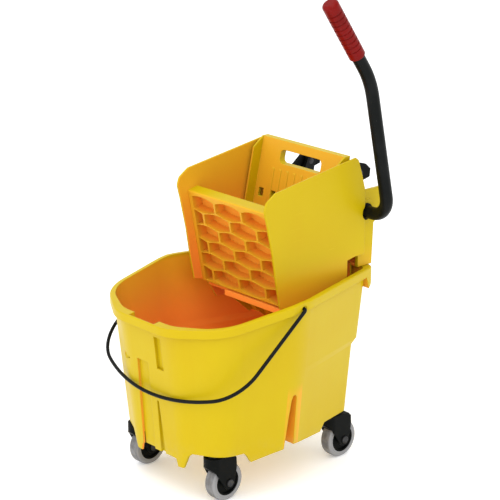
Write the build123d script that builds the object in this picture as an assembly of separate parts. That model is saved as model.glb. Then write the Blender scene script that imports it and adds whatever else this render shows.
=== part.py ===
from build123d import *

import os
from math import asin, atan2, cos, degrees, hypot, radians, sin, tan

# Mop bucket on four swivel casters with a side-press wringer hooked over its rear rim.
# Millimetres. +X points to the rear, where the wringer sits. -Y is the lever side. +Z is up.
# The floor is z = 0, and the shapes are drawn with x = 0 at the widest point of the bucket.

ORIGIN_X = 33.5

# ---- bucket ---------------------------------------------------------------------------
WALL = 4.5  # moulded wall thickness
RIM_Z = 384.0  # rim height over the rear half
RIM_SLOPE = 0.132  # the rim falls this much per millimetre toward the nose
RIM_BAND = 16.0  # height of the rim's outer band
FLOOR_LOW_Z = 104.0  # underside of the bucket floor
FLOOR_Z = 108.0  # top of the bucket floor
# half outlines: x, y and corner radius, from the rear corner to the nose corner
RIM_PLAN = [(256, 130, 25), (0, 203.5, 130), (-171, 171, 100), (-230, 74, 95)]
HULL_TOP = [(240, 128, 24), (0, 197.5, 127), (-172, 168, 97), (-220, 74, 91)]
HULL_CREASE_TOP = [(223, 124, 22), (0, 185.5, 110), (-163, 156, 85), (-204, 71, 80)]
HULL_CREASE_LOW = [(208, 124, 20), (0, 184.5, 110), (-162, 155, 85), (-203, 71, 80)]
HULL_BOTTOM = [(187, 124, 18), (0, 165, 70), (-149, 139, 50), (-186, 67, 44)]
HULL_BOTTOM_Z = 62.0
CREASE_TOP_Z = 244.0
CREASE_LOW_Z = 233.0
NOSE_LEAN = 0.1  # the nose face leans out this much per millimetre of height
NOSE_X_LOW = -186.0  # nose face at the bottom of the hull
CHANNEL_DEPTH = 5.5  # depth of the nose channels

# ---- bail -----------------------------------------------------------------------------
BAIL_X = 1.5
BAIL_Z = 372.0
BAIL_WIRE_R = 3.5
BAIL_HALF_WIDTH = 202.6
BAIL_REST_DROP = 38.5  # degrees below level at rest
BAIL_LEG = 155.0  # straight part of each leg
BAIL_CORNER_R = 91.0
BAIL_CROWN_R = 362.0
BAIL_END_BEND_R = 6.0
BAIL_PIN_TIP_Y = 191.2
RIM_FLAT_Y = 198.6  # flats on the rim sides that the raised bail passes

# ---- casters --------------------------------------------------------------------------
WHEEL_R = 38.0
WHEEL_WIDTH = 25.0
HUB_R = 27.0
AXLE_R = 4.0
CASTER_TRAIL = 25.0  # the wheel trails its swivel axis by this much
CASTER_Y = 113.0
FRONT_AXLE_X = -125.0
REAR_AXLE_X = 179.0
FORK_TOP_Z = 93.0
STEM_R = 5.5
SOCKET_R = 14.0
SOCKET_TOP_Z = 134.0
CASTERS = {
    "front_near": (FRONT_AXLE_X, -CASTER_Y),
    "front_far": (FRONT_AXLE_X, CASTER_Y),
    "rear_near": (REAR_AXLE_X, -CASTER_Y),
    "rear_far": (REAR_AXLE_X, CASTER_Y),
}

# ---- wringer --------------------------------------------------------------------------
SIDE_OUT_Y = 126.0  # outer face of each side wall
SIDE_T = 4.5
EAR_OUT_Y = 117.0  # outer face of each bearing ear
EAR_T = 8.0
SHAFT_X = 241.0
SHAFT_Z = 495.0
TUBE_R = 12.7
TUBE_WALL = 2.5
HINGE_X = 128.0
HINGE_Z = 338.0
HINGE_PIN_R = 5.0
PLATE_LEAN = 0.2227  # backward lean of the press plate face, per millimetre of height
PLATE_FACE_X = 124.0  # press plate face at the height PLATE_FACE_Z
PLATE_FACE_Z = 345.0
PLATE_TOP_Z = 613.0
PLATE_T = 14.0
PLATE_HALF_WIDTH = 116.0
FRONT_FOOT = (29.0, 344.0)  # lower front edge of the fixed front plate
FRONT_HEAD = (-8.0, 535.0)  # upper front edge of the fixed front plate
FRONT_T = 27.0
CELL_PITCH_Y = 76.0
CELL_PITCH_UP = 30.5
CELL_RIB = 5.0
CELL_SHIFT_Y = 10.0  # the honeycomb sits this far toward the far side
CELL_EDGE_Y = 112.0  # the honeycomb ends here on both sides

# ---- lever and cam drive --------------------------------------------------------------
LEVER_Y = -180.0
LEVER_BEND_R = 160.0
LEVER_FOOT_R = 44.0
LEVER_KNEE = (182.7, 772.0)
LEVER_TIP = (76.0, 925.0)
GRIP_R = 16.0
GRIP_LENGTH = 130.0
LEVER_TRAVEL = 60.0  # degrees
PLATE_TRAVEL = 16.0  # degrees that the press plate turns for the whole lever travel
CRANK_R = 66.0
CRANK_START = 20.0  # degrees behind straight up at rest
CRANK_PIN_R = 6.0
CAM_CLEARANCE = 0.35
CAM_WALL = 3.6
ARM_Y = 70.0  # middle of each black cam arm
ARM_T = 8.0
CRANK_Y = 61.5  # middle of each crank
SPRING_R = 17.5
SPRING_WIRE_R = 1.5
CRANK_T = 7.0
CRANK_HUB_INWARD = 8.0  # each crank hub is longer toward the middle


def mirrored(half):
    """Close a half outline by adding its mirror image across the middle plane."""
    other = [(x, -y, r) for x, y, r in reversed(half)]
    return half + other


def rounded_face(outline, z):
    """Flat face at height z whose corners are rounded to their own radii."""
    count = len(outline)
    starts = []
    middles = []
    ends = []
    for i in range(count):
        x0, y0, _ = outline[i - 1]
        x1, y1, r = outline[i]
        x2, y2, _ = outline[(i + 1) % count]
        a = Vector(x1 - x0, y1 - y0).normalized()
        b = Vector(x2 - x1, y2 - y1).normalized()
        turn = atan2(a.X * b.Y - a.Y * b.X, a.dot(b))
        reach = abs(r * tan(turn / 2))
        corner = Vector(x1, y1)
        inward = (b - a).normalized()
        centre = corner + inward * (r / cos(turn / 2))
        starts.append(corner - a * reach)
        middles.append(centre - inward * r)
        ends.append(corner + b * reach)
    edges = []
    for i in range(count):
        edges.append(Edge.make_three_point_arc(starts[i], middles[i], ends[i]))
        edges.append(Edge.make_line(ends[i], starts[(i + 1) % count]))
    return Pos(0, 0, z) * Face(Wire(edges))


def inset(half, distance):
    """Move every side of a half outline inward by the same distance."""
    full = mirrored(half)
    count = len(full)
    moved = []
    for i in range(len(half)):
        x0, y0, _ = full[i - 1]
        x1, y1, r = full[i]
        x2, y2, _ = full[(i + 1) % count]
        a = Vector(x1 - x0, y1 - y0).normalized()
        b = Vector(x2 - x1, y2 - y1).normalized()
        inward = (b - a).normalized()
        half_turn = atan2(a.X * b.Y - a.Y * b.X, a.dot(b)) / 2
        shift = inward * (distance / cos(half_turn))
        moved.append((x1 + shift.X, y1 + shift.Y, max(r - distance, 6)))
    return moved


def blend(low, high, share):
    """Half outline part of the way from one half outline to another."""
    mixed = []
    for (x0, y0, r0), (x1, y1, r1) in zip(low, high):
        x = x0 + (x1 - x0) * share
        y = y0 + (y1 - y0) * share
        r = r0 + (r1 - r0) * share
        mixed.append((x, y, r))
    return mixed


def lofted(levels):
    """Solid through half outlines given with their heights, lowest first."""
    faces = [rounded_face(mirrored(half), z) for z, half in levels]
    return loft(faces, ruled=True)


def side_prism(points, y_low, y_high):
    """Solid between two y planes, outlined by (x, z) points."""
    outline = make_face(Polyline(*points, close=True))
    plane = Plane.XZ.offset(-y_high)
    return extrude(plane * outline, amount=y_high - y_low)


def end_prism(points, x_low, x_high):
    """Solid between two x planes, outlined by (y, z) points."""
    outline = make_face(Polyline(*points, close=True))
    plane = Plane.YZ.offset(x_low)
    return extrude(plane * outline, amount=x_high - x_low)


def block(x0, x1, y0, y1, z0, z1):
    """Box between two opposite corners."""
    middle = Pos((x0 + x1) / 2, (y0 + y1) / 2, (z0 + z1) / 2)
    return middle * Box(abs(x1 - x0), abs(y1 - y0), abs(z1 - z0))


def rod_y(x, z, radius, y_low, y_high):
    """Round bar along y."""
    middle = Pos(x, (y_low + y_high) / 2, z)
    return middle * Rot(90, 0, 0) * Cylinder(radius, y_high - y_low)


def rod_z(x, y, radius, z_low, z_high):
    """Upright round bar."""
    return Pos(x, y, (z_low + z_high) / 2) * Cylinder(radius, z_high - z_low)


def both_sides(shape):
    """A shape together with its mirror image across the middle plane."""
    return shape + mirror(shape, about=Plane.XZ)


# ---- bucket ---------------------------------------------------------------------------
def rim_height(x):
    """Height of the rim top at x."""
    return RIM_Z + min(x, 0) * RIM_SLOPE


def nose_face_x(z):
    """Position of the nose face at height z."""
    return NOSE_X_LOW - (z - HULL_BOTTOM_Z) * NOSE_LEAN


def hull_levels(distance):
    """The four outlines of the hull, moved inward by a distance."""
    return [
        (HULL_BOTTOM_Z, inset(HULL_BOTTOM, distance)),
        (CREASE_LOW_Z, inset(HULL_CREASE_LOW, distance)),
        (CREASE_TOP_Z, inset(HULL_CREASE_TOP, distance)),
        (RIM_Z, inset(HULL_TOP, distance)),
    ]


def basin():
    """The space inside the bucket, from its floor to above the rim."""
    floor_share = (FLOOR_Z - HULL_BOTTOM_Z) / (CREASE_LOW_Z - HULL_BOTTOM_Z)
    floor_plan = inset(blend(HULL_BOTTOM, HULL_CREASE_LOW, floor_share), WALL)
    drop = 4.0
    levels = [
        (FLOOR_Z, floor_plan),
        (CREASE_LOW_Z - drop, inset(HULL_CREASE_LOW, WALL)),
        (CREASE_TOP_Z - drop, inset(HULL_CREASE_TOP, WALL)),
        (RIM_Z + 1, inset(HULL_TOP, WALL)),
    ]
    return lofted(levels)


def rim_band():
    """Outward rim with a sloping band round the sides and a deeper one at the rear."""
    plan = extrude(rounded_face(mirrored(RIM_PLAN), RIM_Z - 60), amount=60)
    nose_x = -240
    nose_z = rim_height(nose_x)
    outline = [
        (nose_x, nose_z),
        (0, RIM_Z),
        (260, RIM_Z),
        (260, 360),
        (256, 360),
        (235, 343),
        (226, RIM_Z - RIM_BAND),
        (0, RIM_Z - RIM_BAND),
        (nose_x, nose_z - RIM_BAND),
    ]
    band = plan & side_prism(outline, -220, 220)
    tops = band.faces().filter_by(lambda f: f.normal_at().Z > 0.9)
    outer = [e for e in tops.edges() if abs(e.center().Y) > 60 or e.center().X < -200]
    return fillet([e for e in outer if abs(e.center().X) > 1], 2.5)


def baffle_walls():
    """Two hollow fins inside the basin, one behind each side groove."""
    outline = [(-25, 100), (-18, 150), (-14, 192), (-3, 205), (9, 194), (12, 100)]
    return both_sides(side_prism(outline, -190, -118))


def baffle_grooves():
    """Tapered grooves up each side of the skirt, closed and rounded at the top."""
    outline = [(-20, 50), (-13, 150), (-9, 186), (-6, 194), (-1, 197), (4, 191), (7, 50)]
    return both_sides(side_prism(outline, -210, -124))


def nose_pad():
    """Thick inner pad that carries the channels of the nose."""
    low = HULL_BOTTOM_Z - 2
    high = 325
    depth = 15
    outline = [
        (nose_face_x(low) + 1, low),
        (nose_face_x(low) + depth, low),
        (nose_face_x(high) + depth, high),
        (nose_face_x(high) + 1, high + 12),
    ]
    return side_prism(outline, -46, 46)


def nose_channel(low_span, high_span, z_low, z_high):
    """Upright channel in the leaning nose face, with its own width at each end."""
    wedge = [
        (-260, z_low),
        (-260, z_high),
        (nose_face_x(z_high) + CHANNEL_DEPTH, z_high),
        (nose_face_x(z_low) + CHANNEL_DEPTH, z_low),
    ]
    face = [
        (low_span[0], z_low),
        (low_span[1], z_low),
        (high_span[1], z_high),
        (high_span[0], z_high),
    ]
    return side_prism(wedge, -60, 60) & end_prism(face, -270, -150)


def nose_pocket():
    """Small three-cornered pocket beside the wide channel."""
    corners = [(84, 263), (62, 255), (82, 247)]
    return end_prism(corners, -260, nose_face_x(255) + CHANNEL_DEPTH + 1)


def skirt_cut():
    """Everything below the lower edge of the skirt."""
    half_nose = [(230, 20), (230, 98), (86, 98), (79, 91), (68, 65), (54, 64), (50, 80)]
    nose_edge = half_nose + [(-y, z) for y, z in reversed(half_nose)]
    side_edge = [
        (-106, 20),
        (-106, 98),
        (-100, 93),
        (-89, 76),
        (-46, 82),
        (-10, 86),
        (7, 90),
        (22, 88),
        (97, 82.5),
        (111, 98),
        (260, 97),
        (260, 20),
    ]
    return end_prism(nose_edge, -260, -105) + side_prism(side_edge, -230, 230)


def skirt_hollow():
    """The space under the bucket floor, inside the skirt."""
    top_share = (FLOOR_LOW_Z - HULL_BOTTOM_Z) / (CREASE_LOW_Z - HULL_BOTTOM_Z)
    top_plan = inset(blend(HULL_BOTTOM, HULL_CREASE_LOW, top_share), WALL)
    low_plan = inset(HULL_BOTTOM, WALL)
    return lofted([(HULL_BOTTOM_Z - 1, low_plan), (FLOOR_LOW_Z, top_plan)])


def wringer_shelf():
    """Shelf inside a rear corner that carries one wringer side wall."""
    outline = [(162, 299.6), (184, 299.6), (184, 256), (176, 256)]
    return side_prism(outline, -144, -117)


def bucket_body():
    """Bucket moulding: hull, rim, skirt, baffles, bosses and shelves in one piece."""
    hull = lofted(hull_levels(0))
    above_rim = side_prism(
        [(-260, rim_height(-260)), (0, RIM_Z), (0, RIM_Z + 60), (-260, RIM_Z + 60)], -230, 230
    )
    space = basin() - nose_pad() - baffle_walls() - both_sides(wringer_shelf() & hull)
    for axle_x, y in CASTERS.values():
        space = space - rod_z(axle_x - CASTER_TRAIL, y, SOCKET_R, FLOOR_LOW_Z, SOCKET_TOP_Z)
    body = hull + rim_band() - space
    body = body - above_rim - baffle_grooves()
    hollow = skirt_hollow() - baffle_walls_low() - nose_pad()
    for axle_x, y in CASTERS.values():
        hollow = hollow - rod_z(axle_x - CASTER_TRAIL, y, SOCKET_R, FORK_TOP_Z + 4, FLOOR_Z)
    body = body - hollow - skirt_cut()
    body = body - nose_channel((12, 48), (7, 39), 60, 262)
    body = body - nose_channel((-38, -19), (-38, -19), 257, 322)
    body = body - nose_channel((-21, -6), (-14, -9), 60, 188)
    body = body - nose_pocket()
    spout = [(-226, 362), (-226, 353.5), (-204, 340), (-190, 340), (-190, 362)]
    body = body - side_prism(spout, -36, 36)
    for axle_x, y in CASTERS.values():
        x = axle_x - CASTER_TRAIL
        body = body - rod_z(x, y, STEM_R + 0.06, FORK_TOP_Z, SOCKET_TOP_Z - 5)
    return body - both_sides(bail_socket())


def bail_socket():
    """Blind hole for one pin end of the bail, with its mouth and the flat on the rim."""
    hole = rod_y(BAIL_X, BAIL_Z, BAIL_WIRE_R + 0.06, -210, -BAIL_PIN_TIP_Y + 0.4)
    mouth = rod_y(BAIL_X, BAIL_Z, 6.5, -210, -196.2)
    flat = block(BAIL_X - 32, BAIL_X + 32, -215, -RIM_FLAT_Y, RIM_Z - 40, RIM_Z + 5)
    return hole + mouth + flat


def baffle_walls_low():
    """The parts of the baffle walls that run down inside the skirt."""
    outline = [(-25, 55), (-25, 110), (12, 110), (12, 55)]
    return both_sides(side_prism(outline, -190, -118))


# ---- bail -----------------------------------------------------------------------------
def bail_point(y, out):
    """Point of the bail at rest, from its sideways place and its distance from the pivots."""
    drop = radians(BAIL_REST_DROP)
    return Vector(BAIL_X - out * cos(drop), y, BAIL_Z - out * sin(drop))


def bail_wire():
    """Bent wire handle with a pin end turned inward at each side."""
    side = BAIL_HALF_WIDTH
    bend = BAIL_END_BEND_R
    corner_turn = asin((side - BAIL_CORNER_R) / (BAIL_CROWN_R - BAIL_CORNER_R))
    corner_middle = (90 + degrees(corner_turn)) / 2
    corner_y = -side + BAIL_CORNER_R
    join_y = corner_y - BAIL_CORNER_R * sin(corner_turn)
    join_out = BAIL_LEG + BAIL_CORNER_R * cos(corner_turn)
    crown_top = join_out + BAIL_CROWN_R * (1 - cos(corner_turn))
    middle_y = corner_y - BAIL_CORNER_R * sin(radians(corner_middle))
    middle_out = BAIL_LEG + BAIL_CORNER_R * cos(radians(corner_middle))
    bend_mid = bend * (1 - cos(radians(45)))
    path = [
        Edge.make_line(bail_point(-BAIL_PIN_TIP_Y, 0), bail_point(-side + bend, 0)),
        Edge.make_three_point_arc(
            bail_point(-side + bend, 0), bail_point(-side + bend_mid, bend_mid), bail_point(-side, bend)
        ),
        Edge.make_line(bail_point(-side, bend), bail_point(-side, BAIL_LEG)),
        Edge.make_three_point_arc(
            bail_point(-side, BAIL_LEG), bail_point(middle_y, middle_out), bail_point(join_y, join_out)
        ),
        Edge.make_three_point_arc(
            bail_point(join_y, join_out), bail_point(0, crown_top), bail_point(-join_y, join_out)
        ),
        Edge.make_three_point_arc(
            bail_point(-join_y, join_out), bail_point(-middle_y, middle_out), bail_point(side, BAIL_LEG)
        ),
        Edge.make_line(bail_point(side, BAIL_LEG), bail_point(side, bend)),
        Edge.make_three_point_arc(
            bail_point(side, bend), bail_point(side - bend_mid, bend_mid), bail_point(side - bend, 0)
        ),
        Edge.make_line(bail_point(side - bend, 0), bail_point(BAIL_PIN_TIP_Y, 0)),
    ]
    wire = Wire(path)
    start = Plane(origin=wire @ 0, z_dir=wire % 0)
    return sweep(start * Circle(BAIL_WIRE_R), path=wire)


# ---- casters --------------------------------------------------------------------------
def caster_fork(axle_x, y):
    """Black caster hood: a round head over the stem and two cheeks beside the wheel."""
    stem_x = axle_x - CASTER_TRAIL
    gap = WHEEL_WIDTH / 2 + 2.5
    half = gap + 3.5
    side_view = [
        (stem_x - half, FORK_TOP_Z),
        (stem_x - half, FORK_TOP_Z - 18),
        (axle_x - 33, FORK_TOP_Z - 27),
        (axle_x - 12, WHEEL_R - 7),
        (axle_x - 6, WHEEL_R - 12),
        (axle_x + 6, WHEEL_R - 12),
        (axle_x + 12, WHEEL_R - 6),
        (axle_x + 18, FORK_TOP_Z - 24),
        (axle_x + 17, FORK_TOP_Z - 7),
        (axle_x + 10, FORK_TOP_Z),
    ]
    plan = rod_z(stem_x, y, half, 0, FORK_TOP_Z + 5)
    plan = plan + block(stem_x, axle_x + 30, y - half, y + half, 0, FORK_TOP_Z + 5)
    fork = side_prism(side_view, y - half, y + half) & plan
    fork = fork - block(axle_x - 60, axle_x + 40, y - gap, y + gap, 0, WHEEL_R)
    fork = fork - rod_y(axle_x, WHEEL_R, WHEEL_R + 3, y - gap, y + gap)
    fork = fork - block(axle_x, axle_x + 40, y - gap, y + gap, 0, FORK_TOP_Z - 5)
    fork = fork - rod_y(axle_x, WHEEL_R, AXLE_R, y - 40, y + 40)
    return fork - rod_z(stem_x, y, STEM_R, FORK_TOP_Z - 12, FORK_TOP_Z + 1)


def caster_stem(axle_x, y):
    """Grip stem of one caster with its collar and a rounded tip."""
    x = axle_x - CASTER_TRAIL
    stem = rod_z(x, y, STEM_R, FORK_TOP_Z - 12, SOCKET_TOP_Z - 7)
    stem = chamfer(stem.faces().sort_by(Axis.Z)[-1].edges(), 1.5)
    return stem + rod_z(x, y, 11, FORK_TOP_Z, FORK_TOP_Z + 2.5)


def caster_tyre(axle_x, y):
    """Grey tyre with rounded shoulders."""
    tyre = rod_y(axle_x, WHEEL_R, WHEEL_R, y - WHEEL_WIDTH / 2, y + WHEEL_WIDTH / 2)
    tyre = fillet(tyre.edges().filter_by(GeomType.CIRCLE), 6)
    return tyre - rod_y(axle_x, WHEEL_R, HUB_R, y - 20, y + 20)


def caster_hub(axle_x, y):
    """Black hub with a dished disc on each side and a bored boss."""
    half = WHEEL_WIDTH / 2
    hub = rod_y(axle_x, WHEEL_R, HUB_R, y - half + 1, y + half - 1)
    for side in (-1, 1):
        dish_low = y + side * (half - 5)
        dish_high = y + side * (half + 1)
        low = min(dish_low, dish_high)
        high = max(dish_low, dish_high)
        dish = rod_y(axle_x, WHEEL_R, HUB_R - 3, low, high) - rod_y(axle_x, WHEEL_R, 10, low, high)
        hub = hub - dish
    hub = hub + rod_y(axle_x, WHEEL_R, 9, y - half - 1.5, y + half + 1.5)
    return hub - rod_y(axle_x, WHEEL_R, AXLE_R + 0.06, y - 20, y + 20)


def caster_axle(axle_x, y):
    """Axle bolt with a round head and a lock nut outside the fork cheeks."""
    reach = WHEEL_WIDTH / 2 + 6
    bolt = rod_y(axle_x, WHEEL_R, AXLE_R, y - reach, y + reach + 5)
    head = rod_y(axle_x, WHEEL_R, 7.5, y - reach - 3, y - reach)
    head = fillet(head.faces().sort_by(Axis.Y)[0].edges(), 1.5)
    turn = Pos(axle_x, y + reach, WHEEL_R) * Rot(-90, 0, 0)
    nut = turn * extrude(RegularPolygon(7, 6), amount=4.5)
    return bolt + head + nut


# ---- wringer --------------------------------------------------------------------------
def side_wall():
    """Near side wall of the wringer with its step inward to the bearing ear."""
    outline = [
        (204, 610),
        (211, 605),
        (222, 573),
        (231, 541),
        (231, 412),
        (205, 412),
        (185, 408),
        (185, 300),
        (66, 300),
        (40, 342),
        (8, 351),
        (-3, 405),
        (-12, 460),
        (-26, 522),
        (-33, 549),
        (-28, 564),
        (-16, 572),
        (-5, 579),
    ]
    wall = side_prism(outline, -SIDE_OUT_Y, -SIDE_OUT_Y + SIDE_T)
    edges = wall.edges().filter_by(Axis.Y)
    nose_edges = [e for e in edges if e.center().X < -10 and e.center().Z > 540]
    wall = fillet(nose_edges, 14)
    faces = wall.faces().filter_by(Axis.Y)
    return fillet(faces.edges(), 1.2)


def ear():
    """Near bearing ear behind the side wall, with the lower rear cheek."""
    inner = -EAR_OUT_Y + EAR_T
    outline = [
        (222, 537),
        (287, 537),
        (287, 500),
        (277, 478),
        (264, 468),
        (260, 385),
        (222, 385),
    ]
    plate = side_prism(outline, -EAR_OUT_Y, inner)
    step = side_prism([(224, 541), (231, 541), (231, 412), (224, 412)], -SIDE_OUT_Y + 1, inner)
    slant = end_prism([(-SIDE_OUT_Y, 400), (-SIDE_OUT_Y, 560), (-119, 560), (-119, 400)], 229, 240)
    ear_shape = plate + step - slant
    boss = rod_y(SHAFT_X, SHAFT_Z, 24, -EAR_OUT_Y - 2, inner)
    return ear_shape + boss


def wringer_side(side):
    """One side of the wringer: wall, step, ear and bearing boss in one piece."""
    near = side_wall() + ear()
    near = near - rod_y(HINGE_X, HINGE_Z, HINGE_PIN_R, -140, -100)
    near = near - rod_y(SHAFT_X, SHAFT_Z, TUBE_R + 4, -140, -100)
    return near if side < 0 else mirror(near, about=Plane.XZ)


def rear_panel():
    """Rear cross panel that stands on the rim and hooks inside it."""
    inner = EAR_OUT_Y - EAR_T
    panel = block(256, 261, -inner, inner, 385, 468)
    foot = block(224, 261, -inner, inner, RIM_Z + 0.4, RIM_Z + 5)
    hook_half = inner - 13
    lip = block(222, 226, -hook_half, hook_half, 350, RIM_Z + 5)
    slope = side_prism([(226, 350), (226, 355), (148, 322), (148, 317)], -hook_half, hook_half)
    half = SIDE_OUT_Y - SIDE_T
    wide = side_prism([(185, 333), (185, 338), (148, 322), (148, 317)], -half, half)
    return panel + foot + lip + slope + wide


def drain_floor():
    """Slotted floor between the front plate and the hinge."""
    half = SIDE_OUT_Y - SIDE_T
    floor = side_prism([(44, 336), (44, 331), (152, 317), (152, 322)], -half, half)
    for row in range(9):
        y = -96 + row * 24
        floor = floor - block(68, 116, y - 5, y + 5, 310, 345)
    return floor


def chute():
    """Ledge and ramp under the drain floor that carry water forward, stiffened by ribs."""
    near = -SIDE_OUT_Y + SIDE_T
    ledge = side_prism([(22, 343), (22, 332), (58, 330), (58, 336)], near, 48)
    ramp = side_prism([(52, 332), (90, 288), (94, 292), (60, 332)], near, 44)
    ribs = side_prism([(28, 333), (60, 333), (94, 292), (80, 288)], 40, 44)
    for y in (0, -40, -80):
        ribs = ribs + side_prism([(34, 333), (60, 333), (93, 292), (84, 288)], y, y + 4)
    return ledge + ramp + ribs


def wringer_base():
    """Middle of the wringer: rear panel with its hook, drain floor and chute."""
    return rear_panel() + drain_floor() + chute()


def front_plane(depth):
    """Work plane on the leaning front plate, a depth behind its front face."""
    run = FRONT_HEAD[0] - FRONT_FOOT[0]
    rise = FRONT_HEAD[1] - FRONT_FOOT[1]
    length = hypot(run, rise)
    back = Vector(rise / length, 0, -run / length)
    origin = Vector(FRONT_FOOT[0], 0, FRONT_FOOT[1]) + back * depth
    return Plane(origin=origin, x_dir=(0, -1, 0), z_dir=back * -1)


def honeycomb_cell():
    """Cell outline with a crowned top, a sagging bottom and short upright sides."""
    side = CELL_PITCH_Y / 2 - CELL_RIB / 2
    top = ThreePointArc((-side, 10), (0, 16.5), (side, 10))
    right = Line((side, 10), (side, -10))
    bottom = ThreePointArc((side, -10), (0, -16.5), (-side, -10))
    left = Line((-side, -10), (-side, 10))
    return make_face(top + right + bottom + left)


def front_plate():
    """Fixed front press plate with a wavy honeycomb of six rows on its front."""
    height = hypot(FRONT_HEAD[0] - FRONT_FOOT[0], FRONT_HEAD[1] - FRONT_FOOT[1])
    half_width = SIDE_OUT_Y - SIDE_T
    back_plane = front_plane(FRONT_T)
    plate = extrude(back_plane * Pos(0, height / 2) * Rectangle(2 * half_width, height), amount=FRONT_T)
    top_edges = plate.edges().filter_by(Axis.Y).sort_by(Axis.Z)[-2:]
    plate = fillet(top_edges, 3)
    cell = honeycomb_cell()
    cut_plane = front_plane(FRONT_T - 4)
    pockets = Part()
    for row in range(6):
        up = height - 24 - row * CELL_PITCH_UP
        first = -1.5 if row % 2 else -2
        for column in range(5):
            across = (first + column) * CELL_PITCH_Y - CELL_SHIFT_Y
            low = max(across - CELL_PITCH_Y / 2, -CELL_EDGE_Y)
            high = min(across + CELL_PITCH_Y / 2, CELL_EDGE_Y)
            if high - low > 16:
                window = Pos((low + high) / 2, up) * Rectangle(high - low, 40)
                shape = (Pos(across, up) * cell) & window
                pockets = pockets + extrude(cut_plane * shape, amount=FRONT_T)
    return plate - pockets


def face_x(z):
    """Position of the press plate face at height z, at rest."""
    return PLATE_FACE_X + (z - PLATE_FACE_Z) * PLATE_LEAN


def press_plate():
    """Swinging press plate with side wings, a hand slot, flutes and a hinge barrel."""
    half = PLATE_HALF_WIDTH
    low = 356
    skin = 5
    outline = [
        (face_x(low), low),
        (face_x(PLATE_TOP_Z), PLATE_TOP_Z),
        (face_x(PLATE_TOP_Z) + PLATE_T, PLATE_TOP_Z),
        (face_x(low) + PLATE_T, low),
    ]
    plate = side_prism(outline, -half, half)
    hollow_low = low + 22
    hollow_high = 558
    back = [
        (face_x(hollow_low) + skin, hollow_low),
        (face_x(hollow_high) + skin, hollow_high),
        (face_x(hollow_high) + PLATE_T + 4, hollow_high),
        (face_x(hollow_low) + PLATE_T + 4, hollow_low),
    ]
    for left, right in ((-107, -80), (-58, -4), (4, 58), (80, 107)):
        plate = plate - side_prism(back, left, right)
    wing = [
        (face_x(372), 372),
        (face_x(395) - 22, 395),
        (face_x(594) - 22, 594),
        (face_x(PLATE_TOP_Z), PLATE_TOP_Z),
        (face_x(PLATE_TOP_Z) + 5, PLATE_TOP_Z),
        (face_x(372) + 5, 372),
    ]
    plate = plate + both_sides(side_prism(wing, -half, -half + 4))
    slot = [(face_x(565) - 2, 569), (face_x(565) + 30, 569), (face_x(598) + 30, 596), (face_x(598) - 2, 596)]
    hand_hole = side_prism(slot, -57, 57)
    hand_hole = fillet(hand_hole.edges().filter_by(lambda e: abs((e % 0.5).X) > 0.9), 9)
    plate = plate - hand_hole
    rib = [
        (face_x(450) + 1, 450),
        (face_x(450) - 1.2, 450),
        (face_x(556) - 1.2, 556),
        (face_x(559) + 1, 559),
    ]
    for row in range(8):
        y = -70 + row * 20
        plate = plate + side_prism(rib, y - 3, y + 3)
    for y in (-95, -60, 60, 95):
        for z in (436, 505):
            plate = plate - block(face_x(z) - 6, face_x(z) + 30, y - 6.5, y + 6.5, z - 8.5, z + 8.5)
    plate = plate + rod_y(HINGE_X, HINGE_Z, 10, -half, half)
    web = [(HINGE_X - 9, HINGE_Z + 3), (face_x(low), low), (face_x(low) + PLATE_T, low), (HINGE_X + 9, HINGE_Z + 3)]
    plate = plate + side_prism(web, -half, half)
    return plate - rod_y(HINGE_X, HINGE_Z, HINGE_PIN_R + 0.06, -120, 120)


def hinge_pin():
    """Steel pin across the wringer that the press plate swings on."""
    return rod_y(HINGE_X, HINGE_Z, HINGE_PIN_R, -SIDE_OUT_Y, SIDE_OUT_Y)


# ---- cam drive ------------------------------------------------------------------------
def crank_pin_place(turn):
    """Where the crank pin is after the lever has turned by some degrees."""
    angle = radians(CRANK_START - turn)
    return SHAFT_X + CRANK_R * sin(angle), SHAFT_Z + CRANK_R * cos(angle)


def cam_point(turn):
    """The crank pin's place as seen from the press plate, moved back to rest."""
    x, z = crank_pin_place(turn)
    swing = radians(PLATE_TRAVEL * turn / LEVER_TRAVEL)
    out = x - HINGE_X
    up = z - HINGE_Z
    back_x = out * cos(swing) + up * sin(swing)
    back_z = -out * sin(swing) + up * cos(swing)
    return HINGE_X + back_x, HINGE_Z + back_z


def cam_lane(radius, y_low, y_high):
    """Curved bar with round ends along the way the crank pin takes through the arm."""
    reach = 1.5
    turns = [-reach, 10, 20, 30, 40, 50, LEVER_TRAVEL + reach]
    points = [cam_point(turn) for turn in turns]
    lane = trace(Spline(*points), line_width=2 * radius)
    plane = Plane.XZ.offset(-y_high)
    bar = extrude(plane * lane, amount=y_high - y_low)
    for x, z in (points[0], points[-1]):
        bar = bar + rod_y(x, z, radius, y_low, y_high)
    return bar


def arm_outline():
    """Side outline of a cam arm, from its foot on the press plate to its hooked rear end."""
    return [
        (face_x(500) + PLATE_T, 500),
        (face_x(552) + PLATE_T, 552),
        (222, 553),
        (246, 571),
        (262, 580),
        (284, 574),
        (297, 562),
        (295, 546),
        (282, 543),
        (262, 541),
        (247, 538),
        (216, 524),
    ]


def press_arm(side):
    """Black cam arm screwed to the back of the press plate."""
    low = side * ARM_Y - ARM_T / 2
    high = side * ARM_Y + ARM_T / 2
    slot_r = CRANK_PIN_R + CAM_CLEARANCE
    arm = side_prism(arm_outline(), low, high)
    arm = arm + cam_lane(slot_r + CAM_WALL, low, high)
    foot = [
        (face_x(490) + PLATE_T, 490),
        (face_x(553) + PLATE_T, 553),
        (face_x(553) + PLATE_T + 5, 553),
        (face_x(490) + PLATE_T + 5, 490),
    ]
    arm = arm + side_prism(foot, side * ARM_Y - 13, side * ARM_Y + 13)
    return arm - cam_lane(slot_r, low - 1, high + 1)


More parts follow.
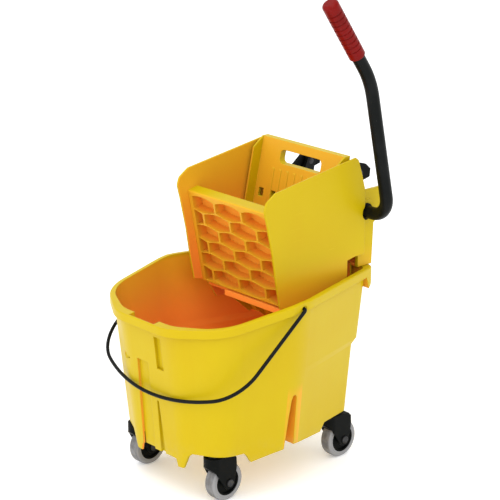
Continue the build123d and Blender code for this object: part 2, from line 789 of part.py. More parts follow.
def arm_screws():
    """Screws that hold the cam arm feet, two above and two below in each foot."""
    screws = Part()
    tilt = degrees(atan2(PLATE_LEAN, 1))
    for y in (-ARM_Y - 9, -ARM_Y + 9, ARM_Y - 9, ARM_Y + 9):
        for z in (498, 544):
            place = Pos(face_x(z) + PLATE_T + 5, y, z) * Rot(0, 90 + tilt, 0)
            screws = screws + place * Pos(0, 0, 1.5) * Cylinder(3.5, 3)
    return screws


def crank(side):
    """Crank clamped on the shaft, reaching up and back to its pin."""
    low = side * CRANK_Y - CRANK_T / 2
    high = side * CRANK_Y + CRANK_T / 2
    x, z = crank_pin_place(0)
    hub_middle = -side * CRANK_HUB_INWARD / 2
    hub = rod_y(SHAFT_X, SHAFT_Z, 20, low + hub_middle - 4, high + hub_middle + 4)
    end = rod_y(x, z, 12, low, high)
    across = Vector(z - SHAFT_Z, 0, -(x - SHAFT_X)).normalized()
    shaft = Vector(SHAFT_X, 0, SHAFT_Z)
    tip = Vector(x, 0, z)
    corners = [shaft - across * 20, shaft + across * 20, tip + across * 11, tip - across * 11]
    web = side_prism([(c.X, c.Z) for c in corners], low, high)
    body = hub + end + web - rod_y(SHAFT_X, SHAFT_Z, TUBE_R, low - 20, high + 20)
    return body - rod_y(x, z, CRANK_PIN_R, low - 20, high + 20)


def crank_pin(side):
    """Steel pin from the crank through the cam slot, with a washer head."""
    x, z = crank_pin_place(0)
    inner = side * (CRANK_Y - CRANK_T / 2)
    outer = side * (ARM_Y + ARM_T / 2 + 0.6)
    tip = side * (ARM_Y + ARM_T / 2 + 3.6)
    pin = rod_y(x, z, CRANK_PIN_R, min(inner, outer), max(inner, outer))
    return pin + rod_y(x, z, 9, min(outer, tip), max(outer, tip))


def shaft_bush(side):
    """Flanged bush in one bearing ear."""
    flange = side * (EAR_OUT_Y - EAR_T - 3)
    inner = side * (EAR_OUT_Y - EAR_T)
    outer = side * (EAR_OUT_Y + 3)
    bush = rod_y(SHAFT_X, SHAFT_Z, TUBE_R + 4, min(inner, outer), max(inner, outer))
    bush = bush + rod_y(SHAFT_X, SHAFT_Z, TUBE_R + 8, min(inner, flange), max(inner, flange))
    return bush - rod_y(SHAFT_X, SHAFT_Z, TUBE_R + 0.06, -130, 130)


def lever_path():
    """Centre line of the lever tube, from the grip end to the far end of the shaft."""
    tip = Vector(LEVER_TIP[0], LEVER_Y, LEVER_TIP[1])
    knee = Vector(LEVER_KNEE[0], LEVER_Y, LEVER_KNEE[1])
    foot = Vector(SHAFT_X, LEVER_Y, SHAFT_Z)
    upper = (knee - tip).normalized()
    lower = (foot - knee).normalized()
    turn = upper.get_angle(lower)
    reach = LEVER_BEND_R * tan(radians(turn / 2))
    bend_start = knee - upper * reach
    bend_end = knee + lower * reach
    inward = (lower - upper).normalized()
    bend_middle = knee + inward * (LEVER_BEND_R / cos(radians(turn / 2)) - LEVER_BEND_R)
    foot_start = foot - lower * LEVER_FOOT_R
    foot_end = foot + Vector(0, LEVER_FOOT_R, 0)
    centre = foot_start + Vector(0, LEVER_FOOT_R, 0)
    to_foot = (foot - centre).normalized()
    foot_middle = centre + to_foot * LEVER_FOOT_R
    shaft_end = Vector(SHAFT_X, EAR_OUT_Y + 12, SHAFT_Z)
    return Wire([
        Edge.make_line(tip, bend_start),
        Edge.make_three_point_arc(bend_start, bend_middle, bend_end),
        Edge.make_line(bend_end, foot_start),
        Edge.make_three_point_arc(foot_start, foot_middle, foot_end),
        Edge.make_line(foot_end, shaft_end),
    ])


def lever_tube():
    """Bent steel tube that is both the hand lever and the cross shaft."""
    path = lever_path()
    start = Plane(origin=path @ 0, z_dir=path % 0)
    section = start * (Circle(TUBE_R) - Circle(TUBE_R - TUBE_WALL))
    return sweep(section, path=path)


def lever_grip():
    """Dark red hand grip with a rounded end and finger rings."""
    tip = Vector(LEVER_TIP[0], LEVER_Y, LEVER_TIP[1])
    knee = Vector(LEVER_KNEE[0], LEVER_Y, LEVER_KNEE[1])
    down = (knee - tip).normalized()
    place = Plane(origin=tip - down * 6, z_dir=down)
    grip = Pos(0, 0, GRIP_LENGTH / 2) * Cylinder(GRIP_R, GRIP_LENGTH)
    grip = fillet(grip.faces().sort_by(Axis.Z)[0].edges(), 7)
    grip = fillet(grip.faces().sort_by(Axis.Z)[-1].edges(), 2)
    for ring in range(9):
        z = 22 + ring * 11
        groove = Pos(0, 0, z) * (Cylinder(GRIP_R + 2, 3.2) - Cylinder(GRIP_R - 1.2, 3.2))
        grip = grip - groove
    bore = Pos(0, 0, 6 + GRIP_LENGTH) * Cylinder(TUBE_R, 2 * GRIP_LENGTH)
    return place * (grip - bore)


def shaft_cap():
    """Cap pressed on the far end of the shaft."""
    end = EAR_OUT_Y + 12
    cap = rod_y(SHAFT_X, SHAFT_Z, TUBE_R + 4, EAR_OUT_Y + 6, end + 3)
    cap = fillet(cap.faces().sort_by(Axis.Y)[-1].edges(), 3)
    return cap - rod_y(SHAFT_X, SHAFT_Z, TUBE_R, EAR_OUT_Y, end)


def spring_sleeve():
    """Plain sleeve on the middle of the shaft that the return spring sits on."""
    sleeve = rod_y(SHAFT_X, SHAFT_Z, SPRING_R - SPRING_WIRE_R - 0.3, -26, 26)
    return sleeve - rod_y(SHAFT_X, SHAFT_Z, TUBE_R, -30, 30)


def return_spring():
    """Torsion spring round the shaft that lifts the lever again."""
    helix = Helix(pitch=4.2, height=42, radius=SPRING_R)
    place = Pos(SHAFT_X, 21, SHAFT_Z) * Rot(90, 0, 0)
    path = place * helix
    start = Plane(origin=path @ 0, z_dir=path % 0)
    return sweep(start * Circle(SPRING_WIRE_R), path=path, is_frenet=True)


# ---- export ---------------------------------------------------------------------------
def all_parts():
    """Every separate piece by name."""
    parts = {
        "bucket_body": bucket_body(),
        "bail_wire": bail_wire(),
        "wringer_side_near": wringer_side(-1),
        "wringer_side_far": wringer_side(1),
        "wringer_base": wringer_base(),
        "front_plate": front_plate(),
        "press_plate": press_plate(),
        "hinge_pin": hinge_pin(),
        "press_arm_near": press_arm(-1),
        "press_arm_far": press_arm(1),
        "arm_screws": arm_screws(),
        "crank_near": crank(-1),
        "crank_far": crank(1),
        "crank_pin_near": crank_pin(-1),
        "crank_pin_far": crank_pin(1),
        "shaft_bush_near": shaft_bush(-1),
        "shaft_bush_far": shaft_bush(1),
        "lever_tube": lever_tube(),
        "lever_grip": lever_grip(),
        "shaft_cap": shaft_cap(),
        "spring_sleeve": spring_sleeve(),
        "return_spring": return_spring(),
    }
    for name, (axle_x, y) in CASTERS.items():
        parts["fork_" + name] = caster_fork(axle_x, y)
        parts["stem_" + name] = caster_stem(axle_x, y)
        parts["tyre_" + name] = caster_tyre(axle_x, y)
        parts["hub_" + name] = caster_hub(axle_x, y)
        parts["axle_" + name] = caster_axle(axle_x, y)
    return parts


os.makedirs("parts", exist_ok=True)
for name, shape in all_parts().items():
    export_step(Pos(-ORIGIN_X, 0, 0) * shape, "parts/" + name + ".step")
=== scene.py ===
"""Looks of a rolling mop bucket with a side-press wringer: finishes, light, floor and camera."""

import logging
import math
from dataclasses import dataclass
from enum import Enum
from typing import Any, Iterable, Optional, Union

import bmesh
import bpy
from mathutils import Matrix, Vector


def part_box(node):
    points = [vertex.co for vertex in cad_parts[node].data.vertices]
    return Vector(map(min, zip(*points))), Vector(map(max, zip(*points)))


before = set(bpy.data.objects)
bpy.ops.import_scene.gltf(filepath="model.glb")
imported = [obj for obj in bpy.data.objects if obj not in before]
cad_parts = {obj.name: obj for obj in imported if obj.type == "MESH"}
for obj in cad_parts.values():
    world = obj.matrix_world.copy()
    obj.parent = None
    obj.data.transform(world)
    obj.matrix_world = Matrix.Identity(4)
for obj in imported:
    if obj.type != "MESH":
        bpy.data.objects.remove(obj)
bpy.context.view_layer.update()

LOG = logging.getLogger("mop_bucket")

# Heights and places of the yellow mouldings, in metres.
RIM_TOP = 0.384
RIM_FALL = 0.032
WIDEST_X = -0.0335
GROOVE_FOOT_Y = 0.163
GROOVE_FOOT_Z = 0.062
GROOVE_SPREAD = 0.115
CELL_FACE_X = 0.0045
CELL_FOOT_Z = 0.344
CELL_LEAN = (0.9818, 0.1902)

Colour = tuple[float, float, float]


class Corner(Enum):
    """The four casters by the corner of the bucket they stand under."""

    FRONT_NEAR = "front_near"
    FRONT_FAR = "front_far"
    REAR_NEAR = "rear_near"
    REAR_FAR = "rear_far"


class Hollow(Enum):
    """Which side of a yellow moulding faces into a hollow, where orange bounce light and shade are
    painted on.
    """

    NONE = "none"
    BUCKET = "bucket"
    SIDE_WALL = "side_wall"
    BASE = "base"
    CELLS = "cells"
    PRESS = "press"


class Grain(Enum):
    """How a surface is textured in the small."""

    ORANGE_PEEL = "orange_peel"
    SPARK = "spark"
    POWDER = "powder"


# ---- shader arithmetic -----------------------------------------------------------------
class Signal:
    """A number that changes over a surface, which takes part in Python arithmetic."""

    def __init__(self, graph: "Graph", socket: bpy.types.NodeSocket) -> None:
        """Wrap one output socket of a graph."""
        self.graph = graph
        self.socket = socket

    def _math(self, operation: str, first: Any, second: Any = None) -> "Signal":
        """Add one Math node and return its result."""
        values = {0: first} if second is None else {0: first, 1: second}
        return self.graph.signal("ShaderNodeMath", {"operation": operation}, values)

    def __add__(self, other: Any) -> "Signal":
        """Sum."""
        return self._math("ADD", self, other)

    __radd__ = __add__

    def __sub__(self, other: Any) -> "Signal":
        """Difference."""
        return self._math("SUBTRACT", self, other)

    def __rsub__(self, other: Any) -> "Signal":
        """Difference with the number first."""
        return self._math("SUBTRACT", other, self)

    def __mul__(self, other: Any) -> "Signal":
        """Product."""
        return self._math("MULTIPLY", self, other)

    __rmul__ = __mul__

    def __truediv__(self, other: Any) -> "Signal":
        """Quotient."""
        return self._math("DIVIDE", self, other)

    def __pow__(self, other: Any) -> "Signal":
        """Power."""
        return self._math("POWER", self, other)

    def __neg__(self) -> "Signal":
        """Negative."""
        return self._math("MULTIPLY", self, -1.0)

    def absolute(self) -> "Signal":
        """Size without sign."""
        return self._math("ABSOLUTE", self)

    def above(self, low: float, high: float) -> "Signal":
        """Smooth step from 0 at low to 1 at high.

        Args:
            low: value where the step starts.
            high: value where the step is complete; may be less than low.

        Returns:
            The step as a signal from 0 to 1.
        """
        values = {"Value": self, "From Min": low, "From Max": high, "To Min": 0.0, "To Max": 1.0}
        settings = {"interpolation_type": "SMOOTHSTEP", "clamp": True}
        return self.graph.signal("ShaderNodeMapRange", settings, values, "Result")


class Graph:
    """The node tree of one material, with one method that makes any node."""

    def __init__(self, name: str) -> None:
        """Start an empty material of that name."""
        self.material = bpy.data.materials.new(name)
        self.material.use_nodes = True
        self.tree = self.material.node_tree
        self.tree.nodes.clear()
        coordinates = self.node("ShaderNodeTexCoord")
        self.place = coordinates.outputs["Object"]
        self.facing = coordinates.outputs["Normal"]

    def node(
        self,
        kind: str,
        settings: Optional[dict[str, Any]] = None,
        values: Optional[dict[Any, Any]] = None,
    ) -> bpy.types.Node:
        """Make one node.

        Args:
            kind: the node's type name.
            settings: attributes to set before the sockets, such as a Math node's operation.
            values: socket name or number to a value, a socket or a signal.

        Returns:
            The new node.
        """
        made = self.tree.nodes.new(kind)
        for key, setting in (settings or {}).items():
            setattr(made, key, setting)
        for key, value in (values or {}).items():
            target = made.inputs[key]
            source = value.socket if isinstance(value, Signal) else value
            if isinstance(source, bpy.types.NodeSocket):
                self.tree.links.new(source, target)
            else:
                target.default_value = source
        return made

    def signal(
        self,
        kind: str,
        settings: Optional[dict[str, Any]] = None,
        values: Optional[dict[Any, Any]] = None,
        output: Union[int, str] = 0,
    ) -> Signal:
        """Make one node and wrap one of its outputs."""
        return Signal(self, self.node(kind, settings, values).outputs[output])

    def stretched(self, scale: tuple[float, float, float], turn: float = 0.0) -> Any:
        """Object coordinates with their own scale along each axis, turned about the upright."""
        values = {"Vector": self.place, "Rotation": (0.0, 0.0, turn), "Scale": scale}
        return self.node("ShaderNodeMapping", None, values).outputs["Vector"]

    def noise(
        self, scale: float, detail: float = 2.0, rough: float = 0.5, vector: Any = None
    ) -> Signal:
        """Cloud noise between 0 and 1.

        Args:
            scale: how many blobs fit in a metre, roughly.
            detail: number of finer layers.
            rough: how strong the finer layers are.
            vector: coordinates to read; object coordinates if left out.

        Returns:
            The noise as a signal.
        """
        values = {
            "Vector": vector if vector is not None else self.place,
            "Scale": scale,
            "Detail": detail,
            "Roughness": rough,
        }
        return self.signal("ShaderNodeTexNoise", None, values, "Fac")

    def cells(self, scale: float) -> Signal:
        """Distance to the nearest of many scattered points."""
        values = {"Vector": self.place, "Scale": scale}
        return self.signal("ShaderNodeTexVoronoi", {"feature": "F1"}, values, "Distance")

    def axis(self, index: int) -> Signal:
        """One of the object coordinates, in metres: 0 is x, 1 is y and 2 is z."""
        return self.signal("ShaderNodeSeparateXYZ", None, {"Vector": self.place}, index)

    def lean(self, index: int) -> Signal:
        """One part of the surface normal in object coordinates: 0 is x, 1 is y and 2 is z."""
        return self.signal("ShaderNodeSeparateXYZ", None, {"Vector": self.facing}, index)

    def mix(self, share: Any, first: Any, second: Any) -> bpy.types.NodeSocket:
        """Blend two colours.

        Args:
            share: 0 gives the first colour and 1 the second.
            first: a colour or a colour socket.
            second: a colour or a colour socket.

        Returns:
            The blended colour's socket.
        """
        node = self.node("ShaderNodeMix", {"data_type": "RGBA", "clamp_factor": True})
        sockets = (node.inputs[0], node.inputs[6], node.inputs[7])
        for socket, value in zip(sockets, (share, first, second)):
            source = value.socket if isinstance(value, Signal) else value
            if isinstance(source, bpy.types.NodeSocket):
                self.tree.links.new(source, socket)
            elif socket.type == "RGBA":
                socket.default_value = (*source, 1.0)
            else:
                socket.default_value = source
        return node.outputs[2]

    def soft_edges(self, radius: float) -> bpy.types.NodeSocket:
        """Normal that rounds every edge off by a radius in metres."""
        return self.node("ShaderNodeBevel", {"samples": 6}, {"Radius": radius}).outputs["Normal"]

    def edge_mask(self, radius: float) -> Signal:
        """One along edges and zero on flats, from how far the rounded normal leans."""
        plain = self.node("ShaderNodeNewGeometry").outputs["Normal"]
        values = {0: plain, 1: self.soft_edges(radius)}
        likeness = self.signal("ShaderNodeVectorMath", {"operation": "DOT_PRODUCT"}, values, "Value")
        return likeness.above(0.985, 0.75)

    def bump(
        self, height: Any, depth: float, strength: float, normal: Any = None
    ) -> bpy.types.NodeSocket:
        """Small relief.

        Args:
            height: relief signal between 0 and 1.
            depth: depth in metres of a height of 1.
            strength: share of the relief that shows.
            normal: normal that the relief sits on.

        Returns:
            The new normal's socket.
        """
        values = {"Height": height, "Distance": depth, "Strength": strength}
        if normal is not None:
            values["Normal"] = normal
        return self.node("ShaderNodeBump", None, values).outputs["Normal"]

    def grain(self, kind: Grain, normal: Any) -> bpy.types.NodeSocket:
        """Fine relief of one named kind on top of a normal."""
        if kind is Grain.ORANGE_PEEL:
            waves = self.bump(self.noise(75.0, 2.0), 0.00022, 0.4, normal)
            return self.bump(self.noise(900.0, 3.0, 0.6), 0.00005, 0.45, waves)
        if kind is Grain.SPARK:
            coarse = self.bump(self.noise(700.0, 4.0, 0.65), 0.00014, 0.6, normal)
            return self.bump(self.cells(1500.0), 0.00006, 0.5, coarse)
        coarse = self.bump(self.noise(420.0, 3.0, 0.6), 0.00012, 0.5, normal)
        return self.bump(self.cells(1100.0), 0.00006, 0.5, coarse)

    def finish(self, changing: dict[str, Any], constants: dict[str, Any]) -> bpy.types.Material:
        """Close the graph with one surface shader.

        Args:
            changing: sockets fed by signals or colour sockets.
            constants: sockets with one value all over.

        Returns:
            The finished material.
        """
        shader = self.node("ShaderNodeBsdfPrincipled", None, {**constants, **changing})
        self.node("ShaderNodeOutputMaterial", None, {"Surface": shader.outputs["BSDF"]})
        return self.material


# ---- finishes --------------------------------------------------------------------------
@dataclass(frozen=True)
class MouldedYellow:
    """Glossy yellow polyethylene, with flow streaks, rounded edges, scuffs, a little dust and painted
    orange bounce light and shade in its hollows.
    """

    name: str
    hollow: Hollow = Hollow.NONE
    colour: Colour = (0.535, 0.392, 0.0024)
    warm: Colour = (0.515, 0.343, 0.0021)
    pale: Colour = (0.68, 0.53, 0.03)
    # Painted bounce light and shade: the orange laid on hollows in place of light reflected inside the
    # plastic.
    painted_bounce_orange: Colour = (0.98, 0.31, 0.044)
    dust: Colour = (0.42, 0.36, 0.22)
    edge_radius: float = 0.0016
    roughness: float = 0.38
    streak_scale: tuple[float, float, float] = (26.0, 26.0, 2.2)
    dust_top: float = 0.13
    scuff_amount: float = 1.0

    def painted_bounce_share(self, graph: Graph) -> Optional[Signal]:
        """Share of painted bounce light and shade at a point, from 0 outside the moulding's hollow to 1
        deep in it.

        Args:
            graph: the graph the signal is made in.

        Returns:
            The share of the painted orange bounce light and shade, or None if the moulding has no hollow.
        """
        across, along, height = graph.axis(0), graph.axis(1), graph.axis(2)
        # Painted bounce light and shade in the bucket: on the inner walls, stronger further below the
        # rim, on the basin floor and in the groove.
        if self.hollow is Hollow.BUCKET:
            inward = -(graph.lean(0) * across + graph.lean(1) * along)
            floor_up = graph.lean(2).above(0.6, 0.9) * height.above(0.125, 0.112)
            floor_up = floor_up * height.above(0.100, 0.106)
            rim = RIM_TOP - (-across + WIDEST_X).above(0.0, 0.30) * RIM_FALL
            depth = rim - height
            groove_edge = GROOVE_FOOT_Y + (height - GROOVE_FOOT_Z) * GROOVE_SPREAD
            groove = (across - WIDEST_X).absolute().above(0.021, 0.018) * height.above(0.22, 0.19)
            groove = groove * (along.absolute() - groove_edge).above(0.001, -0.003)
            wall = inward.above(0.02, 0.06) * depth.above(-0.002, 0.010)
            return wall * (0.42 + depth.above(0.0, 0.15) * 0.58) + floor_up + groove * 0.45
        # Painted shade on the inner faces of the side walls, stronger lower down, and painted bounce
        # light on their outer faces low near the rim.
        if self.hollow is Hollow.SIDE_WALL:
            side = along.above(-0.01, 0.01) * 2.0 - 1.0
            inward = -(graph.lean(1) * side)
            shade = inward.above(0.3, 0.8) * (0.30 + height.above(0.60, 0.36) * 0.65)
            return shade + (-inward).above(0.3, 0.8) * height.above(0.44, 0.36) * 0.30
        # Painted bounce light and shade on faces of the base that turn towards -x or upward.
        if self.hollow is Hollow.BASE:
            into = -graph.lean(0) + graph.lean(2)
            return into.above(0.3, 0.7)
        # Painted bounce light and shade in the cell pockets, stronger the deeper a point lies behind the
        # front face.
        if self.hollow is Hollow.CELLS:
            depth = (across + CELL_FACE_X) * CELL_LEAN[0] + (height - CELL_FOOT_Z) * CELL_LEAN[1]
            return (0.34 + depth.above(0.001, 0.014) * 0.34) * height.above(0.537, 0.533)
        # Painted bounce light and shade on faces of the press plate turned towards -x.
        if self.hollow is Hollow.PRESS:
            return (-graph.lean(0)).above(0.5, 0.9) * 0.35
        return None

    def build(self) -> bpy.types.Material:
        """Make the material."""
        graph = Graph(self.name)
        clouds = graph.noise(7.0, 3.0)
        streaks = graph.noise(1.0, 3.0, 0.55, graph.stretched(self.streak_scale))
        edges = graph.edge_mask(self.edge_radius * 1.4)
        scratches = graph.noise(1.0, 4.0, 0.6, graph.stretched((30.0, 260.0, 900.0), 0.5))
        patches = graph.noise(14.0, 3.0, 0.6).above(0.50, 0.68)
        scuffs = scratches.above(0.60, 0.72) * patches * self.scuff_amount
        height = graph.axis(2)
        low = height.above(self.dust_top, 0.055)
        dusty = low * graph.noise(38.0, 4.0, 0.65).above(0.42, 0.72) * 0.20

        warmth = clouds.above(0.35, 0.72) * 0.35 + streaks.above(0.42, 0.75) * 0.22
        body = graph.mix(warmth, self.colour, self.warm)
        painted_bounce_share = self.painted_bounce_share(graph)
        if painted_bounce_share is not None:
            # Painted orange bounce light and shade over the hollows.
            body = graph.mix(painted_bounce_share, body, self.painted_bounce_orange)
        worn = graph.mix(edges * (0.22 + 0.3 * patches), body, self.pale)
        scuffed = graph.mix(scuffs * 0.28, worn, self.pale)
        shown = graph.mix(dusty, scuffed, self.dust)
        roughness = (
            self.roughness
            + (clouds - 0.5) * 0.10
            + (streaks - 0.5) * 0.08
            + scuffs * 0.22
            + dusty * 0.9
            + edges * 0.05
        )
        normal = graph.soft_edges(self.edge_radius)
        dents = graph.bump(graph.noise(9.0, 1.0), 0.0016, 0.35, normal)
        scored = graph.bump(scuffs, 0.00006, 0.5, dents)
        return graph.finish(
            {
                "Base Color": shown,
                "Roughness": roughness,
                "Normal": graph.grain(Grain.ORANGE_PEEL, scored),
            },
            {"IOR": 1.5, "Specular IOR Level": 0.13},
        )


@dataclass(frozen=True)
class BlackPlastic:
    """Black glass-filled nylon with a sparked grain, paler where it has rubbed."""

    name: str
    colour: Colour = (0.0028, 0.0034, 0.0031)
    rubbed: Colour = (0.014, 0.015, 0.015)
    dust: Colour = (0.06, 0.055, 0.047)
    roughness: float = 0.46
    edge_radius: float = 0.0008
    dust_share: float = 0.10
    kind: Grain = Grain.SPARK

    def build(self) -> bpy.types.Material:
        """Make the material."""
        graph = Graph(self.name)
        edges = graph.edge_mask(self.edge_radius * 1.5)
        patches = graph.noise(45.0, 4.0, 0.6)
        rubs = edges * (0.25 + 0.75 * patches.above(0.45, 0.7)) + patches.above(0.62, 0.8) * 0.18
        settled = graph.noise(110.0, 4.0, 0.7).above(0.50, 0.85) * self.dust_share
        shown = graph.mix(settled, graph.mix(rubs, self.colour, self.rubbed), self.dust)
        roughness = self.roughness + (patches - 0.5) * 0.22 + settled * 1.5 - edges * 0.08
        normal = graph.grain(self.kind, graph.soft_edges(self.edge_radius))
        return graph.finish(
            {"Base Color": shown, "Roughness": roughness, "Normal": normal},
            {"IOR": 1.5, "Specular IOR Level": 0.06},
        )


@dataclass(frozen=True)
class CoatedSteel:
    """Black powder coat over steel, with bare metal where hands and latches rub."""

    name: str
    colour: Colour = (0.0035, 0.0045, 0.0042)
    faded: Colour = (0.008, 0.009, 0.009)
    bare: Colour = (0.30, 0.30, 0.31)
    roughness: float = 0.36
    wear: float = 0.5
    length_scale: float = 60.0

    def build(self) -> bpy.types.Material:
        """Make the material."""
        graph = Graph(self.name)
        clouds = graph.noise(22.0, 4.0, 0.6)
        specks = graph.cells(self.length_scale * 5.0)
        spots = graph.noise(self.length_scale * 4.0, 4.0, 0.7)
        chips = specks.above(0.16, 0.08) * spots.above(0.60, 0.70) * self.wear
        hairlines = graph.noise(1.0, 3.0, 0.6, graph.stretched((500.0, 500.0, 24.0), 0.2))
        lines = hairlines.above(0.64, 0.74) * clouds.above(0.48, 0.66) * 0.5
        faded = graph.mix(clouds.above(0.38, 0.75) * 0.8 + lines, self.colour, self.faded)
        shown = graph.mix(chips, faded, self.bare)
        roughness = self.roughness + (clouds - 0.5) * 0.24 + lines * 0.25
        normal = graph.grain(Grain.POWDER, graph.soft_edges(0.0006))
        worn = graph.bump(1.0 - chips, 0.00008, 0.7, normal)
        return graph.finish(
            {"Base Color": shown, "Roughness": roughness, "Metallic": chips, "Normal": worn},
            {"IOR": 1.5, "Specular IOR Level": 0.09},
        )


@dataclass(frozen=True)
class GripRubber:
    """Dark red vinyl hand grip, smoother and darker where it is held."""

    name: str
    colour: Colour = (0.185, 0.0035, 0.0025)
    held: Colour = (0.13, 0.003, 0.002)
    rubbed: Colour = (0.32, 0.018, 0.014)
    roughness: float = 0.24

    def build(self) -> bpy.types.Material:
        """Make the material."""
        graph = Graph(self.name)
        clouds = graph.noise(30.0, 4.0, 0.6)
        edges = graph.edge_mask(0.0012)
        speckle = graph.noise(900.0, 2.0, 0.6)
        body = graph.mix(clouds.above(0.40, 0.70) * 0.7, self.colour, self.held)
        shown = graph.mix(edges * 0.35 + speckle.above(0.55, 0.8) * 0.10, body, self.rubbed)
        roughness = self.roughness + (clouds - 0.5) * 0.25 + speckle * 0.06
        normal = graph.grain(Grain.SPARK, graph.soft_edges(0.0009))
        return graph.finish(
            {"Base Color": shown, "Roughness": roughness, "Normal": normal},
            {"IOR": 1.5, "Specular IOR Level": 0.10},
        )


@dataclass(frozen=True)
class TyreRubber:
    """Grey non-marking rubber with a dirtier, rougher tread than side wall."""

    name: str
    middle: tuple[float, float, float]
    radius: float
    colour: Colour = (0.215, 0.213, 0.216)
    side: Colour = (0.27, 0.268, 0.272)
    grime: Colour = (0.075, 0.070, 0.066)
    roughness: float = 0.52

    def build(self) -> bpy.types.Material:
        """Make the material."""
        graph = Graph(self.name)
        out_x = graph.axis(0) - self.middle[0]
        out_z = graph.axis(2) - self.middle[2]
        across = (graph.axis(1) - self.middle[1]).absolute()
        reach = (out_x * out_x + out_z * out_z) ** 0.5
        tread = reach.above(self.radius - 0.0022, self.radius - 0.0004)
        clouds = graph.noise(60.0, 4.0, 0.65)
        scrapes = graph.noise(1.0, 4.0, 0.6, graph.stretched((240.0, 40.0, 240.0)))
        dirt = tread * clouds.above(0.35, 0.65) * 0.55 + scrapes.above(0.58, 0.72) * 0.25
        seam = across.above(0.0009, 0.0002) * tread
        ring = (reach - (self.radius - 0.0075)).absolute().above(0.0006, 0.0002)
        body = graph.mix(tread, graph.mix(clouds * 0.4, self.side, self.colour), self.colour)
        shown = graph.mix(dirt + ring * 0.30 + seam * 0.2, body, self.grime)
        roughness = self.roughness + tread * 0.14 + (clouds - 0.5) * 0.16
        base = graph.bump(ring + seam, 0.0003, -0.5, graph.soft_edges(0.0010))
        scraped = graph.bump(scrapes, 0.00025, 0.45, base)
        normal = graph.bump(graph.noise(800.0, 3.0, 0.6), 0.00010, 0.5, scraped)
        return graph.finish(
            {"Base Color": shown, "Roughness": roughness, "Normal": normal},
            {"IOR": 1.5, "Specular IOR Level": 0.38},
        )


@dataclass(frozen=True)
class Steel:
    """Zinc-plated steel with brushed lines, dulled patches and faint yellow passivation."""

    name: str
    colour: Colour = (0.56, 0.56, 0.57)
    dulled: Colour = (0.33, 0.33, 0.34)
    tint: Colour = (0.52, 0.47, 0.34)
    roughness: float = 0.30
    lines: tuple[float, float, float] = (900.0, 60.0, 900.0)

    def build(self) -> bpy.types.Material:
        """Make the material."""
        graph = Graph(self.name)
        clouds = graph.noise(70.0, 4.0, 0.6)
        lines = graph.noise(1.0, 3.0, 0.6, graph.stretched(self.lines))
        body = graph.mix(clouds.above(0.40, 0.72), self.colour, self.dulled)
        shown = graph.mix(graph.noise(25.0, 2.0).above(0.5, 0.8) * 0.35, body, self.tint)
        roughness = self.roughness + (clouds - 0.5) * 0.3 + (lines - 0.5) * 0.2
        normal = graph.bump(lines, 0.00003, 0.6, graph.soft_edges(0.0005))
        return graph.finish(
            {"Base Color": shown, "Roughness": roughness, "Normal": normal},
            {"Metallic": 1.0},
        )


# ---- sub-assemblies --------------------------------------------------------------------
class Assembly:
    """What every sub-assembly shares: dressing CAD nodes in its finishes."""

    @staticmethod
    def dress(nodes: Iterable[str], material: bpy.types.Material) -> None:
        """Give one material to all the slots of each CAD node.

        Args:
            nodes: names of the CAD nodes.
            material: the finish they get.
        """
        for name in nodes:
            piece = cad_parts[name]
            for place in piece.material_slots:
                place.material = material
            LOG.info("%s wears %s", name, material.name)


@dataclass
class Bucket(Assembly):
    """The yellow bucket moulding and its wire bail."""

    shell: MouldedYellow = MouldedYellow("bucket_yellow", Hollow.BUCKET)
    wire: CoatedSteel = CoatedSteel("bail_black", roughness=0.30, wear=0.35, length_scale=90.0)

    def build(self) -> None:
        """Dress the bucket and the bail."""
        self.dress(["bucket_body"], self.shell.build())
        self.dress(["bail_wire"], self.wire.build())


@dataclass
class Wringer(Assembly):
    """The hooked-on wringer: side walls, base, front plate, press plate and its cam arms."""

    sides: MouldedYellow = MouldedYellow(
        "wringer_side_yellow",
        Hollow.SIDE_WALL,
        edge_radius=0.0018,
        streak_scale=(18.0, 18.0, 3.0),
        scuff_amount=1.3,
    )
    base: MouldedYellow = MouldedYellow("wringer_base_yellow", Hollow.BASE, scuff_amount=1.3)
    cells: MouldedYellow = MouldedYellow("wringer_cell_yellow", Hollow.CELLS, edge_radius=0.0012)
    press: MouldedYellow = MouldedYellow(
        "press_yellow",
        Hollow.PRESS,
        edge_radius=0.0014,
        streak_scale=(24.0, 24.0, 4.0),
        scuff_amount=1.8,
    )
    arms: BlackPlastic = BlackPlastic("arm_black", roughness=0.42)
    bushes: BlackPlastic = BlackPlastic("bush_black", roughness=0.38, dust_share=0.05)
    pins: Steel = Steel("pin_steel")

    def build(self) -> None:
        """Dress the wringer's pieces."""
        self.dress(["wringer_side_near", "wringer_side_far"], self.sides.build())
        self.dress(["wringer_base"], self.base.build())
        self.dress(["front_plate"], self.cells.build())
        self.dress(["press_plate"], self.press.build())
        self.dress(["press_arm_near", "press_arm_far"], self.arms.build())
        self.dress(["shaft_bush_near", "shaft_bush_far"], self.bushes.build())
        self.dress(["hinge_pin", "arm_screws"], self.pins.build())


@dataclass
class Lever(Assembly):
    """The side lever with its cross shaft, cranks, return spring and grip."""

    tube: CoatedSteel = CoatedSteel("tube_black", roughness=0.34, wear=0.6)
    grip: GripRubber = GripRubber("grip_red")
    fittings: BlackPlastic = BlackPlastic("shaft_fittings_black", roughness=0.40, dust_share=0.05)
    pins: Steel = Steel(
        "crank_pin_steel",
        colour=(0.045, 0.045, 0.047),
        dulled=(0.02, 0.02, 0.021),
        tint=(0.05, 0.045, 0.035),
        lines=(700.0, 120.0, 700.0),
    )
    coil: Steel = Steel("spring_steel", colour=(0.40, 0.40, 0.42), roughness=0.36)

    def build(self) -> None:
        """Dress the lever's pieces."""
        self.dress(["lever_tube", "crank_near", "crank_far"], self.tube.build())
        self.dress(["lever_grip"], self.grip.build())
        self.dress(["shaft_cap", "spring_sleeve"], self.fittings.build())
        self.dress(["crank_pin_near", "crank_pin_far"], self.pins.build())
        self.dress(["return_spring"], self.coil.build())


